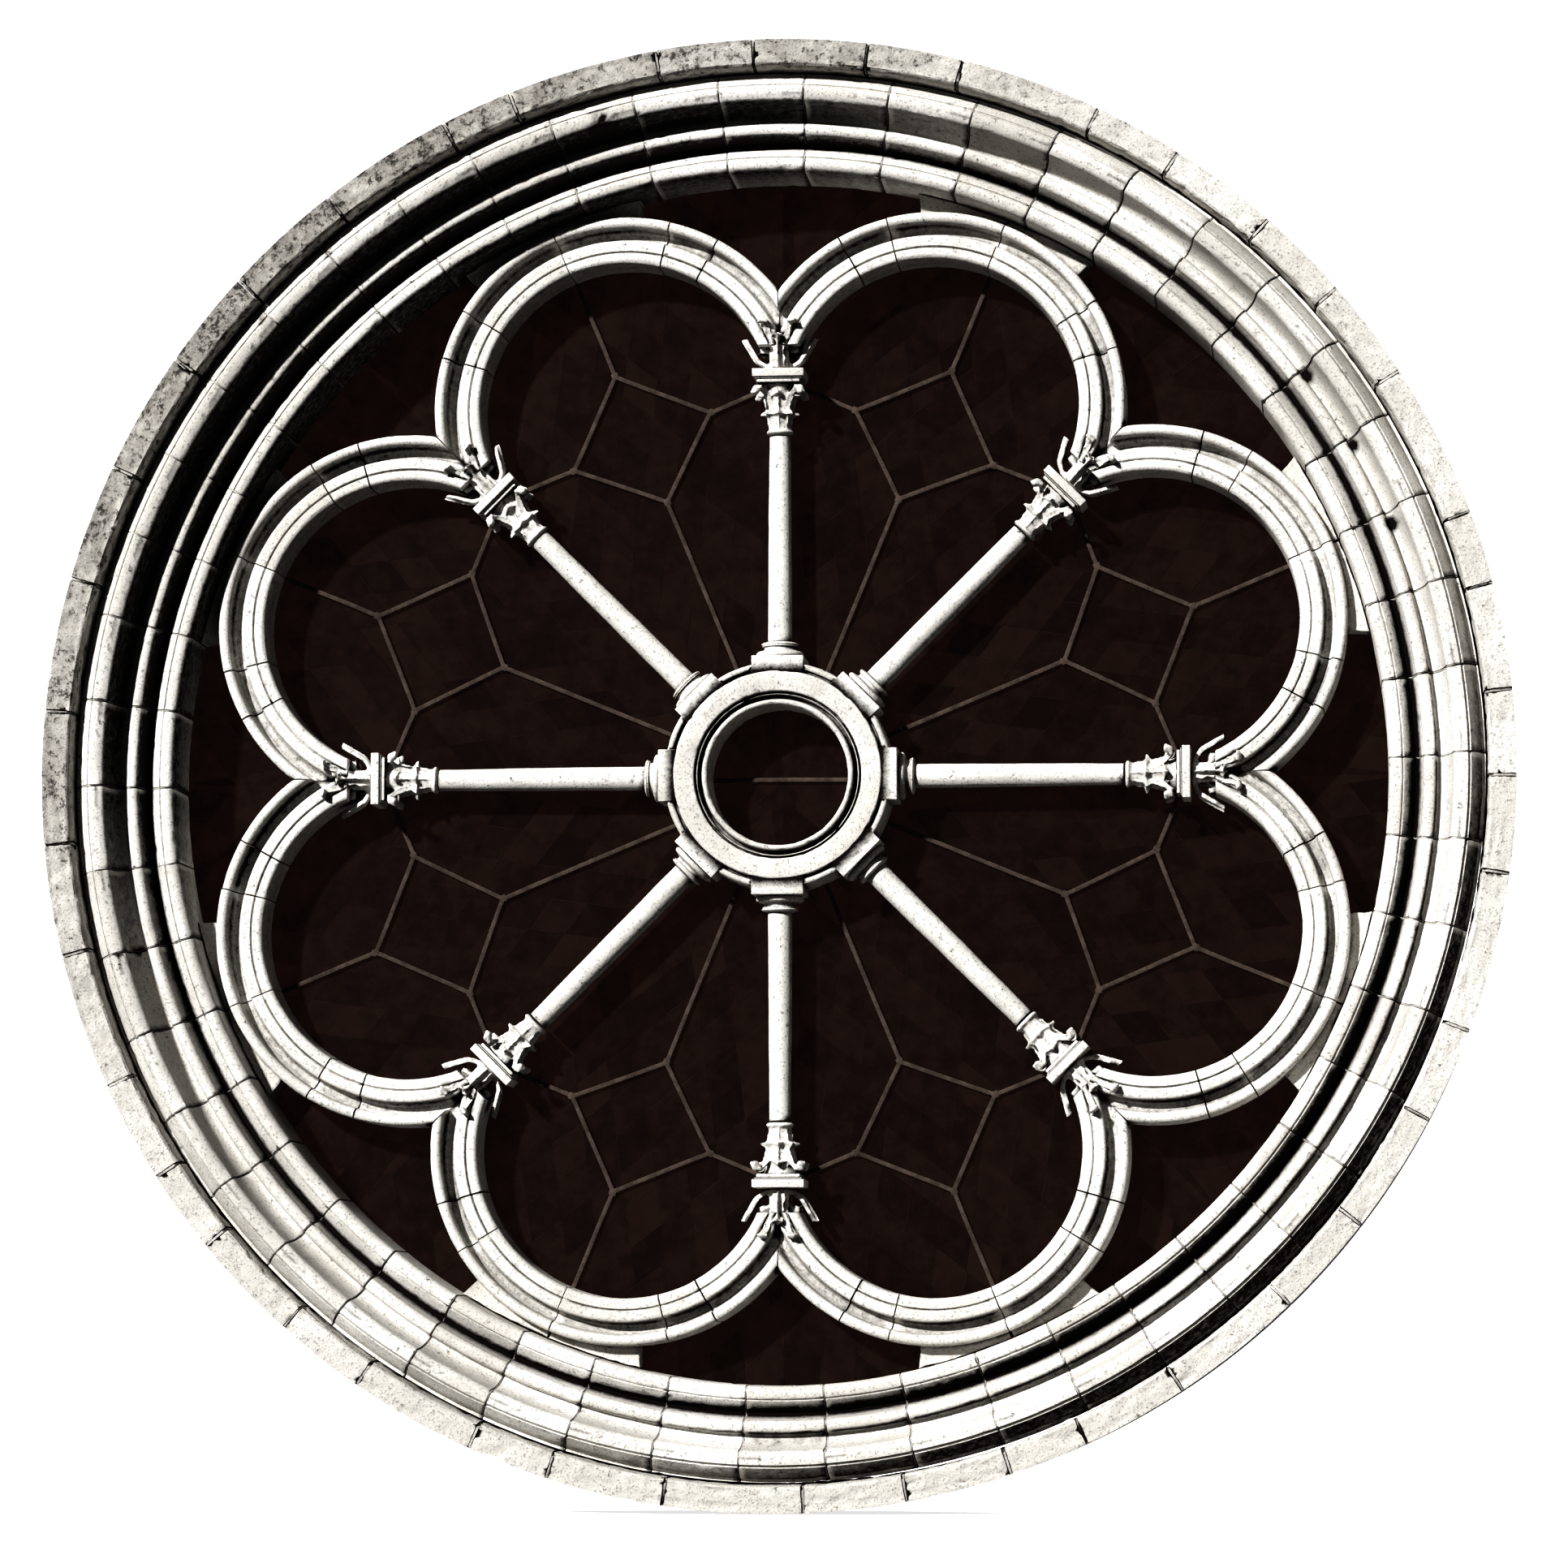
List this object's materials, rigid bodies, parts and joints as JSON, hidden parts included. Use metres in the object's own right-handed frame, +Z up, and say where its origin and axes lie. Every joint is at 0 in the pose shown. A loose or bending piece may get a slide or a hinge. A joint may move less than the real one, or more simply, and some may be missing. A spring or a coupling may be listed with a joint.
{
  "type": "rose window",
  "caption": "Round wheel window in carved stone: colonnettes between a pierced hub and round arches, in a moulded ring, with iron bars and dark leaded glass.",
  "frame": {"origin": "on the wheel's axis, in the flat back of the ring, centred in the wall opening", "axes": "-Y out of the front, towards the viewer; +Z up; +X to the right seen from the front"},
  "size_m": [6, 0.64, 6],
  "materials": {
    "limestone": "dressed limestone, pale, slightly pitted, dark dirt in the joints and hollows",
    "weathered_limestone": "weathered limestone, rough, grey patina",
    "wrought_iron": "forged iron bar, dull, brown-grey",
    "leaded_glass": "old dark leaded glass, dusty, dark brown"
  },
  "bodies": {
    "root": {"outer_band": "weathered_limestone", "moulded_ring": "limestone", "hub": "limestone", "base_1": "limestone", "shaft_1": "limestone", "capital_1": "limestone", "springer_1": "limestone", "crown_stone_1_left": "limestone", "crown_stone_1_right": "limestone", "base_2": "limestone", "shaft_2": "limestone", "capital_2": "limestone", "springer_2": "limestone", "crown_stone_2_left": "limestone", "crown_stone_2_right": "limestone", "base_3": "limestone", "shaft_3": "limestone", "capital_3": "limestone", "springer_3": "limestone", "crown_stone_3_left": "limestone", "crown_stone_3_right": "limestone", "base_4": "limestone", "shaft_4": "limestone", "capital_4": "limestone", "springer_4": "limestone", "crown_stone_4_left": "limestone", "crown_stone_4_right": "limestone", "base_5": "limestone", "shaft_5": "limestone", "capital_5": "limestone", "springer_5": "limestone", "crown_stone_5_left": "limestone", "crown_stone_5_right": "limestone", "base_6": "limestone", "shaft_6": "limestone", "capital_6": "limestone", "springer_6": "limestone", "crown_stone_6_left": "limestone", "crown_stone_6_right": "limestone", "base_7": "limestone", "shaft_7": "limestone", "capital_7": "limestone", "springer_7": "limestone", "crown_stone_7_left": "limestone", "crown_stone_7_right": "limestone", "base_8": "limestone", "shaft_8": "limestone", "capital_8": "limestone", "springer_8": "limestone", "crown_stone_8_left": "limestone", "crown_stone_8_right": "limestone", "ironwork": "wrought_iron", "glazing": "leaded_glass"}
  },
  "joints": []
}
